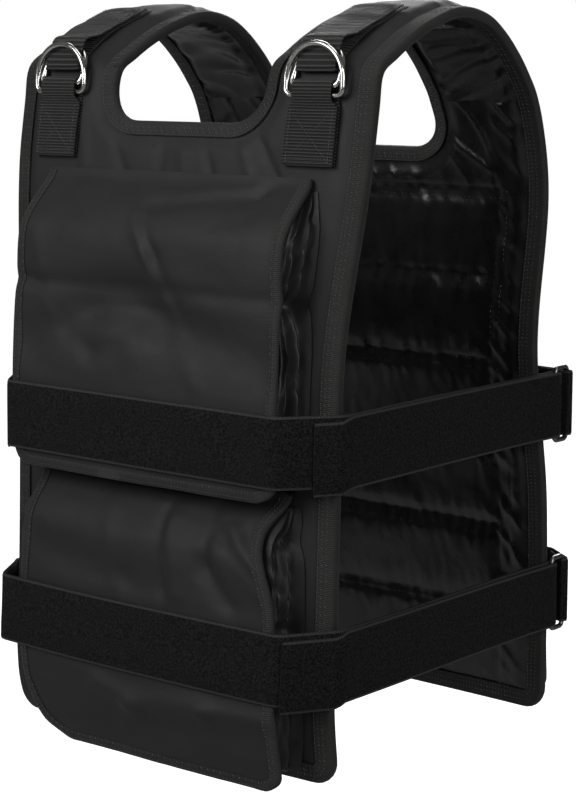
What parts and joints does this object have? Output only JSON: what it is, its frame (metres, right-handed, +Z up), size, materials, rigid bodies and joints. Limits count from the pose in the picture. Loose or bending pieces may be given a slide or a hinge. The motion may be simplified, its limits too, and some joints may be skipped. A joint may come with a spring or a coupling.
{
  "type": "weighted vest",
  "caption": "Padded sleeveless vest with rows of weight pouches under cover flaps, front and back, wide hook-and-loop side belts and shoulder webbing in paired D-rings.",
  "frame": {"origin": "between the shoulders at the underside of the shoulder pads' top, half way from the front to the back", "axes": "+Z up along the wearer's spine, -Y out of the chest, +X to the wearer's left"},
  "size_m": [0.349, 0.3617, 0.5647],
  "materials": {
    "shell": "matte satin woven nylon over padding",
    "gusset": "shiny thin woven nylon",
    "tape": "dark grey woven binding tape",
    "webbing": "ribbed polyester webbing",
    "belt": "black loop pile",
    "nickel": "polished nickel plate",
    "wire": "dark plated wire"
  },
  "bodies": {
    "root": {"front_panel": "shell", "back_panel": "shell", "shoulder_pad_left": "shell", "shoulder_pad_right": "shell", "edge_binding": "tape", "neck_binding": "tape", "front_pouches_upper": "gusset", "front_pouches_lower": "gusset", "back_pouches_upper": "gusset", "back_pouches_lower": "gusset", "front_flap_upper": "shell", "front_flap_lower": "shell", "back_flap_upper": "shell", "back_flap_lower": "shell", "front_belt_upper": "belt", "front_belt_lower": "belt", "back_belt_upper": "belt", "back_belt_lower": "belt", "belt_ring_upper_left": "wire", "belt_ring_upper_right": "wire", "belt_ring_lower_left": "wire", "belt_ring_lower_right": "wire", "d_ring_rear_left": "nickel", "d_ring_rear_right": "nickel", "d_ring_front_left": "nickel", "d_ring_front_right": "nickel", "ring_webbing_left": "webbing", "ring_webbing_right": "webbing", "shoulder_webbing_left": "webbing", "shoulder_webbing_right": "webbing"}
  },
  "joints": []
}
